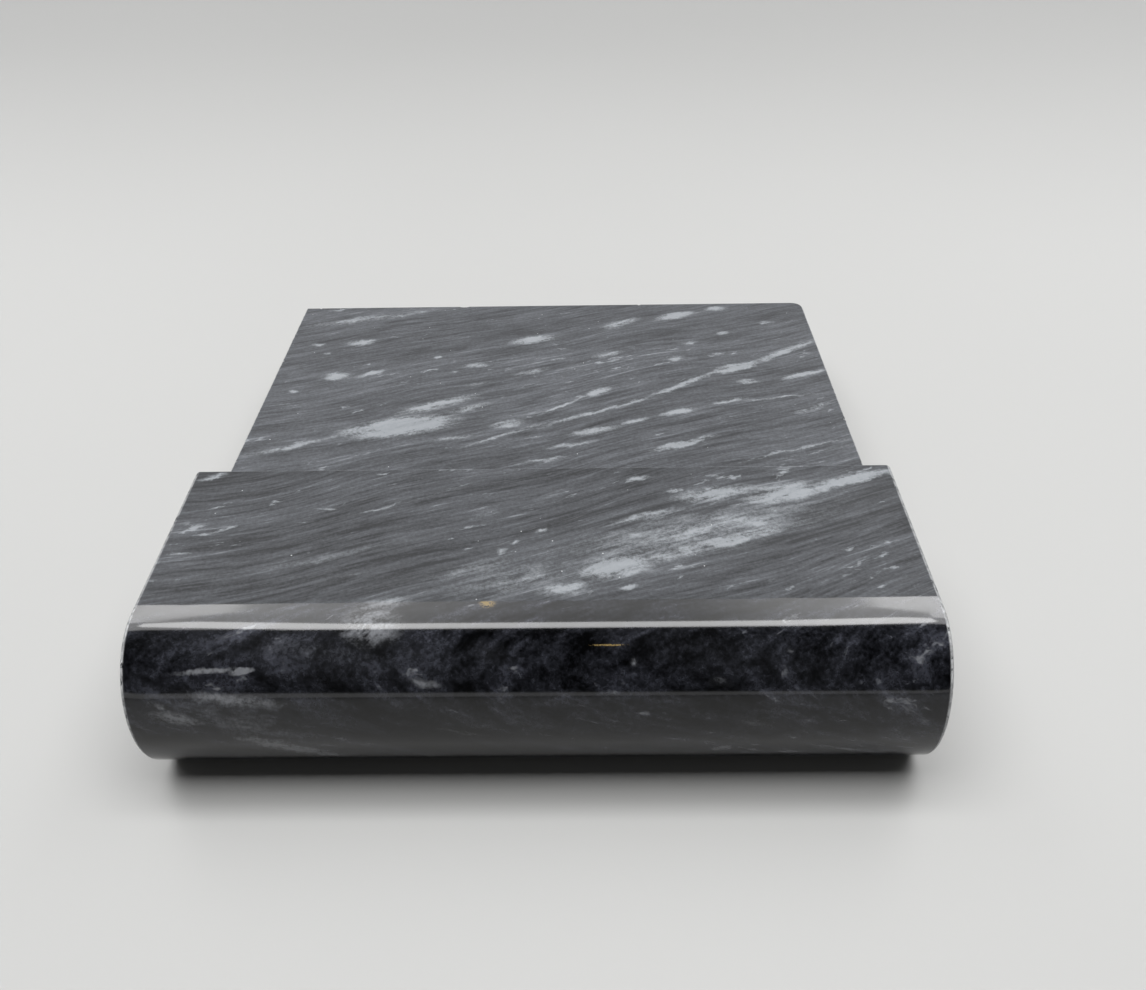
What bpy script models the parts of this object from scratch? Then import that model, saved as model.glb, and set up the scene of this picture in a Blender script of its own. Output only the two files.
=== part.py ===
"""Stone work slab for leatherworking: a bullnosed block with a thinner slab behind it.

Metres, +Z up. +X runs across the stones, and the rounded nose looks along -Y.
The origin is on the bench, under the middle of the two stones set together.
"""

import math

import bmesh
import bpy

# Both stones
SLAB_WIDTH = 0.127            # across the ends, which are sawn flush
JOINT_GAP = 0.0003            # between the two stones where they meet
SAWN_ARRIS = 0.0003           # how far a sharp sawn edge is eased
ARRIS_SEGMENTS = 2
SHADE_SMOOTH_BELOW = math.radians(25)

# Front block
BLOCK_THICKNESS = 0.0300
BLOCK_TOP_DEPTH = 0.0360      # flat top, from the back edge to where the nose starts to fall
NOSE_DEPTH = 0.0124           # how far the nose stands out in front of the flat top
NOSE_STEPS = 48               # flats round the nose
END_ARRIS = 0.0008            # how far the edge round each end of the block is eased

# Rear slab
SLAB_THICKNESS = 0.0195
SLAB_LENGTH = 0.0797
LEFT_TAPER = 0.0021           # how far the back left corner stands in from a parallel side
RIGHT_TAPER = 0.0014          # the same at the back right corner
CLIPPED_CORNER_RADIUS = 0.0026
CORNER_STEPS = 8

TOTAL_DEPTH = NOSE_DEPTH + BLOCK_TOP_DEPTH + JOINT_GAP + SLAB_LENGTH
NOSE_TIP_Y = -TOTAL_DEPTH / 2
NOSE_START_Y = NOSE_TIP_Y + NOSE_DEPTH
BLOCK_BACK_Y = NOSE_START_Y + BLOCK_TOP_DEPTH
SLAB_FRONT_Y = BLOCK_BACK_Y + JOINT_GAP


def clear_scene():
    """Remove every object that the file opened with."""
    for thing in list(bpy.data.objects):
        bpy.data.objects.remove(thing)


def stone(name, colour, roughness):
    """A plain Principled material for one finish of the stone."""
    material = bpy.data.materials.new(name)
    material.use_nodes = True
    shader = material.node_tree.nodes["Principled BSDF"]
    shader.inputs["Base Color"].default_value = (*colour, 1.0)
    shader.inputs["Roughness"].default_value = roughness
    shader.inputs["Metallic"].default_value = 0.0
    return material


def extrude_outline(name, outline, along, arris_of):
    """Extrude a closed outline into a solid, and ease its sharp edges.

    outline is a list of corners, which the vector along carries to the far face.
    arris_of takes an edge and gives how far it is eased, or 0 to leave it alone.
    """
    mesh = bpy.data.meshes.new(name)
    shape = bmesh.new()
    near_face = shape.faces.new([shape.verts.new(point) for point in outline])
    swept = bmesh.ops.extrude_face_region(shape, geom=[near_face], use_keep_orig=True)
    moved = [item for item in swept["geom"] if isinstance(item, bmesh.types.BMVert)]
    bmesh.ops.translate(shape, verts=moved, vec=along)
    bmesh.ops.recalc_face_normals(shape, faces=shape.faces)

    widest = max(arris_of(edge) for edge in shape.edges)
    weights = shape.edges.layers.float.new("bevel_weight_edge")
    for edge in shape.edges:
        edge[weights] = arris_of(edge) / widest
    shape.to_mesh(mesh)
    shape.free()

    solid = bpy.data.objects.new(name, mesh)
    bpy.context.scene.collection.objects.link(solid)
    mesh.shade_smooth()
    mesh.set_sharp_from_angle(angle=SHADE_SMOOTH_BELOW)
    easing = solid.modifiers.new("Eased edges", "BEVEL")
    easing.limit_method = "WEIGHT"
    easing.width = widest
    easing.segments = ARRIS_SEGMENTS
    return solid


def runs_along(edge, axis):
    """Whether an edge is parallel to one axis, 0 for X, 1 for Y or 2 for Z."""
    run = edge.verts[1].co - edge.verts[0].co
    return abs(run[axis]) > 0.999 * run.length


def block_outline():
    """The block's side view at its left end, from the back edge round the nose.

    The nose is half an ellipse, as high as the block is thick.
    """
    half = BLOCK_THICKNESS / 2
    left = -SLAB_WIDTH / 2
    back_depth = BLOCK_BACK_Y - NOSE_START_Y
    outline = [(left, back_depth, 0.0), (left, back_depth, BLOCK_THICKNESS)]
    for step in range(NOSE_STEPS + 1):
        turn = math.pi * step / NOSE_STEPS
        forward = -NOSE_DEPTH * math.sin(turn)
        height = half + half * math.cos(turn)
        outline.append((left, forward, height))
    return outline


def block_arris(edge):
    """Ends are eased by END_ARRIS, and the block's two long back edges are sawn."""
    if not runs_along(edge, 0):
        return END_ARRIS
    at_back = all(vertex.co.y > BLOCK_TOP_DEPTH / 2 for vertex in edge.verts)
    return SAWN_ARRIS if at_back else 0.0


def make_front_block():
    """The thick block with the polished bullnose. Its origin is where the nose starts."""
    block = extrude_outline("front_slab", block_outline(), (SLAB_WIDTH, 0, 0), block_arris)
    block.location = (0, NOSE_START_Y, 0)
    block.data.materials.append(stone("polished_stone", (0.045, 0.047, 0.052), 0.12))
    return block


def slab_outline():
    """The rear slab's plan, anticlockwise from its front left corner."""
    half = SLAB_WIDTH / 2
    back_right = half - RIGHT_TAPER
    outline = [(-half, 0.0, 0.0), (half, 0.0, 0.0)]
    for step in range(CORNER_STEPS + 1):
        turn = math.pi / 2 * step / CORNER_STEPS
        across = back_right - CLIPPED_CORNER_RADIUS * (1 - math.cos(turn))
        back = SLAB_LENGTH - CLIPPED_CORNER_RADIUS * (1 - math.sin(turn))
        outline.append((across, back, 0.0))
    outline.append((-half + LEFT_TAPER, SLAB_LENGTH, 0.0))
    return outline


def slab_arris(edge):
    """Every edge is sawn, except the flats that make up the rounded corner."""
    if not runs_along(edge, 2):
        return SAWN_ARRIS
    sharp_corner = edge.calc_face_angle() > SHADE_SMOOTH_BELOW
    return SAWN_ARRIS if sharp_corner else 0.0


def make_rear_slab():
    """The thinner slab. Its origin is at the middle of its front edge, on the bench."""
    slab = extrude_outline("rear_slab", slab_outline(), (0, 0, SLAB_THICKNESS), slab_arris)
    slab.location = (0, SLAB_FRONT_Y, 0)
    slab.data.materials.append(stone("honed_stone", (0.105, 0.108, 0.115), 0.55))
    return slab


clear_scene()
make_front_block()
make_rear_slab()
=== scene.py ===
"""A leatherworker's stone work slab: a bullnosed marble block with a thinner slab behind it.

Metres, +Z up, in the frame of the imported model. The frame gives each stone its size and place.
This script gives the stones their eased and chipped edges, their veins, and their polish.
"""

import logging
import math
from collections.abc import Callable
from dataclasses import dataclass, replace
from enum import Enum
from typing import NamedTuple

import bpy
from mathutils import Matrix, Vector


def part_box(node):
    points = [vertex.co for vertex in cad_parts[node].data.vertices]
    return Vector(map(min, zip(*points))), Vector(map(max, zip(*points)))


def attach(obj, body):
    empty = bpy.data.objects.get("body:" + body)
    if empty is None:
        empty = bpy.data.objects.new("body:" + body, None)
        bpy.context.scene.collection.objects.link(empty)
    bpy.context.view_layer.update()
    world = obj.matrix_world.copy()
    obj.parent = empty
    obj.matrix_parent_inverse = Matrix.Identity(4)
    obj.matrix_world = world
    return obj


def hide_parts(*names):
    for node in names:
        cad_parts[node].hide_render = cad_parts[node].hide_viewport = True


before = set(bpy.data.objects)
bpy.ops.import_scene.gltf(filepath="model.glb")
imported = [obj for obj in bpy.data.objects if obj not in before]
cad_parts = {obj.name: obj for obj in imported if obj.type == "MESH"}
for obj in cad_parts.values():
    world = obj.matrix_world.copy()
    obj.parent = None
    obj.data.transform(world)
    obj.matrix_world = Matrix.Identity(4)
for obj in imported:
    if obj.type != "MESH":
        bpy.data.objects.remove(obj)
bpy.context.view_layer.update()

log = logging.getLogger("stone_work_slab")

MM = 0.001                           # metres in a millimetre
SMOOTH_BELOW = math.radians(14)      # faces that meet at less than this are shaded as one
JOIN_WITHIN = 2e-6                   # vertices this close are one vertex
LONG_EDGE_WEAR = 0.45                # how worn the long edges are, beside the ends' 1
LENS_REACH = 1.6                     # how far a vein fades out, in half lengths
VEIN_DEPTH = 2.0                     # the least depth of a vein, in millimetres
STAIN_AND_GLINT_DEPTH = 1.0                    # the same for a brown stain, and for the painted glint on the nose
ORIGIN = (0.0, 0.0, 0.0)
HALF = (0.5, 0.5, 0.5)               # the middle of a noise's colours

Colour = tuple[float, float, float]
Pair = tuple[float, float]


# Node trees

class Term:
    """An output socket that Python's operators work on."""

    def __init__(self, nodes: "Nodes", socket: bpy.types.NodeSocket) -> None:
        """Keeps the socket and the tree that it is in."""
        self.nodes = nodes
        self.socket = socket

    def math(self, operation: str, *others: "Term | float") -> "Term":
        """Works this term and the others through one Math node.

        Args:
            operation: The Math node's operation.
            others: The node's other values, in order.

        Returns:
            The node's result.
        """
        values = dict(enumerate((self, *others)))
        return self.nodes.add("ShaderNodeMath", values, operation=operation)

    def __add__(self, other: "Term | float") -> "Term":
        """This plus the other."""
        return self.math("ADD", other)

    def __radd__(self, other: float) -> "Term":
        """The number plus this."""
        return self.math("ADD", other)

    def __sub__(self, other: "Term | float") -> "Term":
        """This minus the other."""
        return self.math("SUBTRACT", other)

    def __rsub__(self, other: float) -> "Term":
        """The number minus this."""
        return (self * -1.0).math("ADD", other)

    def __mul__(self, other: "Term | float") -> "Term":
        """This times the other."""
        return self.math("MULTIPLY", other)

    def __rmul__(self, other: float) -> "Term":
        """The number times this."""
        return self.math("MULTIPLY", other)

    def __truediv__(self, other: "Term | float") -> "Term":
        """This divided by the other."""
        return self.math("DIVIDE", other)

    def __pow__(self, power: float) -> "Term":
        """This raised to a power."""
        return self.math("POWER", power)

    def __abs__(self) -> "Term":
        """This without its sign."""
        return self.math("ABSOLUTE")

    def highest(self, other: "Term | float") -> "Term":
        """The larger of this and the other."""
        return self.math("MAXIMUM", other)

    def lowest(self, other: "Term | float") -> "Term":
        """The smaller of this and the other."""
        return self.math("MINIMUM", other)

    def kept(self) -> "Term":
        """This, held between 0 and 1."""
        return self.highest(0.0).lowest(1.0)

    def ramp(self, start: float, end: float, low: float = 0.0, high: float = 1.0) -> "Term":
        """Eases from low to high as this goes from start to end.

        Args:
            start: Where the result is low.
            end: Where the result is high. It may be less than start.
            low: The result at start and before it.
            high: The result at end and past it.

        Returns:
            The eased value.
        """
        values = {"Value": self, "From Min": start, "From Max": end, "To Min": low, "To Max": high}
        return self.nodes.add("ShaderNodeMapRange", values, interpolation_type="SMOOTHSTEP")


class Nodes:
    """Adds nodes to one tree."""

    def __init__(self, tree: bpy.types.NodeTree) -> None:
        """Keeps the tree."""
        self.tree = tree

    def add(self, kind: str, values: dict | None = None, out: int | str = 0, **settings: object) -> Term:
        """Adds one node.

        Args:
            kind: The node's type.
            values: A number, a vector or a Term for each input, by its name or its place.
            out: The output that is wanted, by its name or its place.
            settings: The node's own properties, which are set first.

        Returns:
            The wanted output.
        """
        node = self.tree.nodes.new(kind)
        for name, value in settings.items():
            setattr(node, name, value)
        for key, value in (values or {}).items():
            if isinstance(value, Term):
                self.tree.links.new(value.socket, node.inputs[key])
            else:
                node.inputs[key].default_value = value
        return Term(self, node.outputs[out])

    def vector(self, operation: str, *values: "Term | tuple", out: int = 0) -> Term:
        """Works vectors through one Vector Math node.

        Args:
            operation: The node's operation.
            values: The node's vectors, in order.
            out: 0 for a vector, 1 for a number.

        Returns:
            The node's result.
        """
        return self.add("ShaderNodeVectorMath", dict(enumerate(values)), out, operation=operation)

    def scaled(self, vector: Term, by: "Term | float") -> Term:
        """The vector times a number."""
        return self.add("ShaderNodeVectorMath", {0: vector, "Scale": by}, operation="SCALE")

    def part(self, vector: Term, axis: str) -> Term:
        """One of a vector's three numbers, X, Y or Z."""
        return self.add("ShaderNodeSeparateXYZ", {0: vector}, axis)

    def mix_colours(self, share: "Term | float", first: "Term | Colour", second: "Term | Colour",
                    blend: str = "MIX") -> Term:
        """Mixes two colours.

        Args:
            share: How much of the second colour there is, from 0 to 1.
            first: The first colour.
            second: The second colour.
            blend: The Mix node's way of blending.

        Returns:
            The mixed colour.
        """
        first, second = ((*c, 1.0) if isinstance(c, tuple) else c for c in (first, second))
        values = {0: share, 6: first, 7: second}
        return self.add("ShaderNodeMix", values, 2, data_type="RGBA", blend_type=blend)

    def noise(self, place: Term, scale: float, detail: float = 2.0, roughness: float = 0.5,
              distortion: float = 0.0, out: int = 0) -> Term:
        """Noise through the stone.

        Args:
            place: Where the noise is read.
            scale: How many of its lumps there are in one unit of place.
            detail: How many finer layers it has.
            roughness: How strong the finer layers are.
            distortion: How far it is stirred.
            out: 0 for a number, 1 for a colour.

        Returns:
            The noise, about 0.5 on average.
        """
        values = {"Vector": place, "Scale": scale, "Detail": detail, "Roughness": roughness,
                  "Distortion": distortion}
        return self.add("ShaderNodeTexNoise", values, out)

    def end_with(self, kind: str, shader: Term) -> None:
        """Links a shader to a new output node of some kind."""
        output = self.tree.nodes.new(kind)
        self.tree.links.new(shader.socket, output.inputs["Surface"])

    def turned(self, place: Term, centre: tuple, turn: Matrix, size: tuple) -> Term:
        """Reads a place in a frame of its own.

        Args:
            place: The place to turn.
            centre: The frame's origin.
            turn: A 3 by 3 matrix, whose columns are the frame's axes.
            size: The frame's unit along each of its axes.

        Returns:
            The place in that frame.
        """
        values = {"Vector": place, "Location": centre, "Rotation": turn.to_euler(), "Scale": size}
        return self.add("ShaderNodeMapping", values, vector_type="TEXTURE")


# The stone

@dataclass(frozen=True)
class Vein:
    """A pale lens in the stone, in millimetres and degrees, on one of a stone's faces.

    On a top, back is measured from the front of that top. Round the nose, back is measured
    along the curve, and it is negative below the line where the nose starts to fall. pale runs
    from 0, the colour of the ground, to 1.
    """

    across: float
    back: float
    length: float
    width: float
    angle: float
    pale: float

    def size(self, least_depth: float) -> tuple[float, float, float]:
        """Half its length and half its width, and how deep it goes into the stone."""
        return self.length / 2, self.width / 2, max(self.width, least_depth)


class Lens(NamedTuple):
    """A vein's place in the frame, in millimetres."""

    vein: Vein
    centre: Vector
    turn: Matrix


class Pattern(NamedTuple):
    """What the stone's pattern gives to a finish."""

    place: Term       # Object coordinates in millimetres
    vein: Term        # 1 in the palest vein, 0 in the ground
    tone: Term        # how light the ground is, about 1
    grain: Term       # fine crystals, about 0
    streak: Term      # fine lines along the foliation, about 0
    blotch: Term      # blotches a few millimetres across, about 0


@dataclass(frozen=True)
class Marble:
    """A dark foliated marble: its ground, its fine streaks and its pale lenses."""

    foliation: tuple[float, float, float] = (-0.24, 0.70, -0.67)   # normal to the layers
    band_size: tuple[float, float, float] = (60.0, 30.0, 9.0)      # millimetres
    ribbon_size: tuple[float, float, float] = (24.0, 8.0, 1.5)
    streak_size: tuple[float, float, float] = (8.0, 2.2, 0.42)
    lens_size: tuple[float, float, float] = (5.0, 2.4, 1.2)
    shade: float = 1.0             # how light the ground is
    bend: float = 7.0              # how far the layers bend, millimetres
    stir: float = 1.2              # how far veins wander, millimetres
    loose_veins: float = 0.85      # how pale the scattered veins are
    threads: float = 0.50          # how pale the fine threads are

    def layers(self) -> Matrix:
        """Finds the frame of the layers.

        Returns:
            A matrix whose third axis is normal to the layers, and whose first lies level in them.
        """
        normal = Vector(self.foliation).normalized()
        run = normal.cross(Vector((0.0, 0.0, 1.0))).normalized()
        return Matrix((run, normal.cross(run), normal)).transposed()

    def pattern(self, nodes: Nodes, lenses: list[Lens]) -> Pattern:
        """Adds the stone's pattern to a material.

        Args:
            nodes: The material's nodes.
            lenses: The veins that have a place of their own.

        Returns:
            The pattern.
        """
        metres = nodes.add("ShaderNodeTexCoord", out="Object")
        place = nodes.scaled(metres, 1 / MM)
        bent = self.pushed(nodes, place, 0.025, self.bend, 0.5)
        wandering = self.pushed(nodes, place, 0.20, self.stir * 1.8, 2.0)
        stirred = self.pushed(nodes, wandering, 0.95, self.stir * 0.7, 3.0)
        sizes = (self.band_size, self.ribbon_size, self.streak_size)
        in_bands, in_ribbons, in_streaks = (
            nodes.turned(bent, ORIGIN, self.layers(), size) for size in sizes
        )
        in_lenses = nodes.turned(stirred, ORIGIN, self.layers(), self.lens_size)
        band = nodes.noise(in_bands, 1.0, 3.0, 0.5) - 0.5
        ribbon = nodes.noise(in_ribbons, 1.0, 3.0, 0.6) - 0.5
        streak = nodes.noise(in_streaks, 1.0, 4.0, 0.62) - 0.5
        grain = nodes.noise(place, 1.5, 6.0, 0.75) - 0.5
        lump = nodes.noise(in_lenses, 1.0, 3.0, 0.55) - 0.5

        tone = self.shade + band * 1.1 + ribbon * 1.7 + grain * 1.2
        scattered = (lump + band * 0.5 + ribbon * 0.25 + streak * 0.12).ramp(0.155, 0.30)
        threads = (streak + ribbon * 0.5 + band * 0.4).ramp(0.16, 0.34) * self.threads
        found = self.placed(nodes, stirred, lenses)
        fray = ribbon * 0.60 + streak * 0.70 + grain * 1.10 + lump * 1.30
        frayed = found + fray * found.ramp(0.02, 0.55) * 0.9 - 0.04
        placed = frayed.ramp(0.04, 0.46).highest(found * 0.32)
        solid = placed * (0.88 + grain * 0.5 + ribbon * 0.6 + lump * 0.4)
        vein = solid.highest(scattered * self.loose_veins).highest(threads).kept()
        return Pattern(place, vein, tone, grain, streak, lump)

    def pushed(self, nodes: Nodes, place: Term, scale: float, reach: float, detail: float) -> Term:
        """The place, pushed about so that nothing read from it runs quite straight.

        Args:
            nodes: The material's nodes.
            place: The place, in millimetres.
            scale: How many turns it takes in a millimetre.
            reach: How far it is pushed, in millimetres.
            detail: How many finer layers the push has.

        Returns:
            The wandering place.
        """
        wander = nodes.noise(place, scale, detail, 0.55, out=1)
        return nodes.vector("ADD", place, nodes.scaled(nodes.vector("SUBTRACT", wander, HALF), reach))

    def placed(self, nodes: Nodes, stirred: Term, lenses: list[Lens]) -> Term:
        """Adds the veins that have a place of their own.

        Args:
            nodes: The material's nodes.
            stirred: The wandering place, in millimetres.
            lenses: The veins.

        Returns:
            How pale the stone is: the vein's own paleness in its middle, and 0 well outside it.
        """
        found = nodes.part(stirred, "X") * 0.0
        for lens in lenses:
            local = nodes.turned(stirred, tuple(lens.centre), lens.turn, lens.vein.size(VEIN_DEPTH))
            away = nodes.vector("LENGTH", local, out=1)
            values = {"Value": away, "From Min": LENS_REACH, "From Max": 0.0, "To Max": lens.vein.pale}
            found = found.highest(nodes.add("ShaderNodeMapRange", values))
        return found


class Surface(Enum):
    """How a face of the stone was left."""

    POLISHED = "polished"
    HONED = "honed"
    SAWN = "sawn"
    BROKEN = "broken"


@dataclass(frozen=True)
class Finish:
    """How the stone looks where it was worked in one way."""

    ground: Colour
    pale: Colour
    roughness: float
    relief: float         # depth of its fine relief, millimetres
    grain: float          # how much the crystals lighten and darken it
    specular: float       # the strength of its gloss
    contrast: float       # how strongly its layers show
    streaks: float        # how strongly its fine streaks show
    blotches: float       # how strongly its blotches show
    dust: float = 0.0     # how much pale dust lies on it


FINISHES = {
    Surface.POLISHED: Finish(
        ground=(0.0145, 0.0153, 0.0195), pale=(0.118, 0.122, 0.131), roughness=0.085, relief=0.0012,
        grain=0.35, specular=0.5, contrast=2.8, streaks=0.5, blotches=1.2,
    ),
    Surface.HONED: Finish(
        ground=(0.038, 0.040, 0.044), pale=(0.165, 0.175, 0.186), roughness=0.60, relief=0.020,
        grain=0.20, specular=0.2, contrast=1.1, streaks=2.0, blotches=0.0, dust=1.0,
    ),
    Surface.SAWN: Finish(
        ground=(0.055, 0.057, 0.061), pale=(0.17, 0.175, 0.18), roughness=0.66, relief=0.035,
        grain=0.30, specular=0.3, contrast=1.0, streaks=1.6, blotches=0.0,
    ),
    Surface.BROKEN: Finish(
        ground=(0.13, 0.135, 0.14), pale=(0.35, 0.36, 0.37), roughness=0.70, relief=0.060,
        grain=0.50, specular=0.4, contrast=0.6, streaks=0.5, blotches=0.5,
    ),
}
WORN = (0.32, 0.325, 0.33)           # an eased edge
DUST = (0.60, 0.61, 0.62)
RUST_AND_PAINTED_GLINT = (0.17, 0.12, 0.045)           # the brown flecks in the polish: a stain on the top, and a painted glint, a painted reflection, on the nose
POLISH_BLUR = 0.18                   # half the width of the polish's edge, in millimetres


class StoneMaterial:
    """Makes one material of the stone."""

    def __init__(self, name: str, marble: Marble, lenses: list[Lens]) -> None:
        """Starts the material with the marble's pattern.

        Args:
            name: The material's name.
            marble: The stone.
            lenses: The veins that have a place of their own.
        """
        self.material = bpy.data.materials.new(name)
        self.material.use_nodes = True
        self.material.node_tree.nodes.clear()
        self.nodes = Nodes(self.material.node_tree)
        self.pattern = marble.pattern(self.nodes, lenses)

    def colour(self, finish: Finish) -> Term:
        """Mixes the stone's colour in one finish.

        Args:
            finish: The finish.

        Returns:
            The colour.
        """
        nodes, pattern = self.nodes, self.pattern
        tone = pattern.tone + pattern.streak * finish.streaks + pattern.blotch * finish.blotches
        light = tone.highest(0.30) ** finish.contrast * (1.0 + pattern.grain * (finish.grain * 4.0))
        white = nodes.add("ShaderNodeCombineColor", {0: light, 1: light, 2: light})
        ground = nodes.mix_colours(1.0, finish.ground, white, "MULTIPLY")
        return nodes.mix_colours(pattern.vein, ground, finish.pale)

    def relief(self, finish: Finish) -> Term:
        """The stone's fine relief in one finish, in millimetres."""
        rough = self.nodes.noise(self.pattern.place, 3.2, 4.0, 0.62)
        return rough * finish.relief

    def finish(self, surface: Surface) -> bpy.types.Material:
        """Finishes a material that is worked in one way all over.

        Args:
            surface: How its faces were left.

        Returns:
            The material.
        """
        style = FINISHES[surface]
        colour = self.worn(self.colour(style), 0.6)
        if style.dust:
            colour = self.dusted(colour, style.dust)
        rough = self.pattern.grain * 0.25 + style.roughness
        return self.done(self.shader(colour, rough, self.relief(style), style.specular))

    def worn(self, colour: Term, strength: float) -> Term:
        """Lightens the stone where an edge was eased.

        Args:
            colour: The stone's colour.
            strength: How strongly, from 0 to 1.

        Returns:
            The colour with its worn edges.
        """
        arris = self.nodes.add("ShaderNodeAttribute", out="Fac", attribute_name="arris")
        patchy = self.nodes.noise(self.pattern.place, 0.9, 4.0, 0.65)
        share = arris.ramp(0.0, 0.55) * patchy.ramp(0.34, 0.62, 0.45, 1.0) * strength
        return self.nodes.mix_colours(share, colour, WORN)

    def dusted(self, colour: Term, amount: float) -> Term:
        """Lays specks of dust and faint rubbed marks on a matt face.

        Args:
            colour: The stone's colour.
            amount: How much dust there is, from 0 to 1.

        Returns:
            The colour with its dust.
        """
        nodes = self.nodes
        place = self.pattern.place
        speck = nodes.add("ShaderNodeTexVoronoi", {"Vector": place, "Scale": 0.34})
        spread = nodes.noise(place, 0.12, 2.0)
        specks = speck.ramp(0.055, 0.025) * spread.ramp(0.45, 0.62)
        along_rubs = nodes.turned(place, ORIGIN, Matrix.Rotation(0.5, 3, "Z"), (9.0, 0.5, 9.0))
        rubbed = nodes.noise(along_rubs, 1.0, 3.0, 0.6)
        marks = rubbed.ramp(0.62, 0.80) * spread.ramp(0.40, 0.60)
        share = (specks * 0.50).highest(marks * 0.05) * amount
        return nodes.mix_colours(share, colour, DUST)

    def shader(self, colour: Term, roughness: Term, relief: Term, specular: float) -> Term:
        """The stone's shader.

        Args:
            colour: The base colour.
            roughness: The roughness.
            relief: The height of the surface, in millimetres.
            specular: The strength of the gloss.

        Returns:
            The shader.
        """
        bump = self.nodes.add("ShaderNodeBump", {"Height": relief, "Strength": 1.0, "Distance": MM},
                              "Normal")
        return self.nodes.add("ShaderNodeBsdfPrincipled", {
            "Base Color": colour, "Roughness": roughness, "Normal": bump, "Specular IOR Level": specular,
        })

    def done(self, shader: Term) -> bpy.types.Material:
        """Gives the material its shader, and returns the material."""
        self.nodes.end_with("ShaderNodeOutputMaterial", shader)
        return self.material


class BlockMaterial(StoneMaterial):
    """The block's own material: matt on top, and polished round the nose."""

    def two_finishes(self, polish_line: float, skew: float, stains_and_glint: list[Lens]) -> bpy.types.Material:
        """Finishes the block, matt behind the polish line and polished in front of it.

        Args:
            polish_line: Where the polish ends on the top, in millimetres along Y.
            skew: How much further back it ends for each millimetre across.
            stains_and_glint: The brown stain on the top, and the painted glint on the nose, a painted
                reflection.

        Returns:
            The material.
        """
        nodes = self.nodes
        place = self.pattern.place
        honed_style, polished_style = FINISHES[Surface.HONED], FINISHES[Surface.POLISHED]
        line = nodes.part(place, "Y") - nodes.part(place, "X") * skew
        waver = nodes.noise(place, 0.15, 2.0) * 0.5 - 0.25
        matt = (line + waver).ramp(polish_line - POLISH_BLUR, polish_line + POLISH_BLUR)

        arris = nodes.add("ShaderNodeAttribute", out="Fac", attribute_name="arris")
        honed = self.worn(self.dusted(self.colour(honed_style), honed_style.dust), 0.6)
        polished = self.worn(self.stained_and_glinted(self.colour(polished_style), stains_and_glint), 1.0)
        gloss = (self.pattern.grain * 0.03 + polished_style.roughness).highest(arris.ramp(0.1, 0.5) * 0.45)
        matt_gloss = self.pattern.grain * 0.25 + honed_style.roughness
        mixed = nodes.add("ShaderNodeMixShader", {
            0: matt,
            1: self.shader(polished, gloss, self.relief(polished_style), polished_style.specular),
            2: self.shader(honed, matt_gloss, self.relief(honed_style), honed_style.specular),
        })
        return self.done(mixed)

    def stained_and_glinted(self, colour: Term, stains_and_glint: list[Lens]) -> Term:
        """Adds the brown flecks to a colour: a stain on the top, and on the nose a painted glint, a painted
        reflection.

        Args:
            colour: The stone's colour.
            stains_and_glint: The stain, and the painted glint.

        Returns:
            The colour with its flecks.
        """
        for brown_lens in stains_and_glint:
            size = brown_lens.vein.size(STAIN_AND_GLINT_DEPTH)
            local = self.nodes.turned(self.pattern.place, tuple(brown_lens.centre), brown_lens.turn, size)
            away = self.nodes.vector("LENGTH", local, out=1) + abs(self.pattern.grain) * 9.0
            # Each lens mixes in brown: a stain on the top, and a painted glint, a painted reflection, on the
            # nose.
            colour = self.nodes.mix_colours(away.ramp(1.3, 0.7, 0.0, brown_lens.vein.pale), colour, RUST_AND_PAINTED_GLINT)
        return colour


# Geometry Nodes

class GeometryTree(Nodes):
    """A Geometry Nodes tree with named inputs."""

    def __init__(self, name: str, inputs: dict[str, str]) -> None:
        """Makes the tree.

        Args:
            name: The tree's name.
            inputs: Each input's kind of socket, by the input's name.
        """
        super().__init__(bpy.data.node_groups.new(name, "GeometryNodeTree"))
        face = self.tree.interface
        face.new_socket(name="Geometry", in_out="INPUT", socket_type="NodeSocketGeometry")
        self.sockets = {
            key: face.new_socket(name=key, in_out="INPUT", socket_type=kind).identifier
            for key, kind in inputs.items()
        }
        face.new_socket(name="Geometry", in_out="OUTPUT", socket_type="NodeSocketGeometry")
        self.entry = self.tree.nodes.new("NodeGroupInput")
        self.exit = self.tree.nodes.new("NodeGroupOutput")

    def given(self, name: str) -> Term:
        """One of the tree's inputs."""
        return Term(self, self.entry.outputs[name])

    def end(self, geometry: Term) -> None:
        """Gives the tree its result."""
        self.tree.links.new(geometry.socket, self.exit.inputs["Geometry"])

    def put_on(self, piece: bpy.types.Object, values: dict[str, object]) -> None:
        """Puts the tree on an object.

        Args:
            piece: The object.
            values: A value for each of the tree's inputs, by name.
        """
        modifier = piece.modifiers.new(self.tree.name, "NODES")
        modifier.node_group = self.tree
        for name, value in values.items():
            modifier[self.sockets[name]] = value


CAP_RINGS = 2          # rings of faces between an end's arris and its middle
FACES_OUT = 0.7        # how far a normal leans to an axis on a face that looks along it


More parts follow.
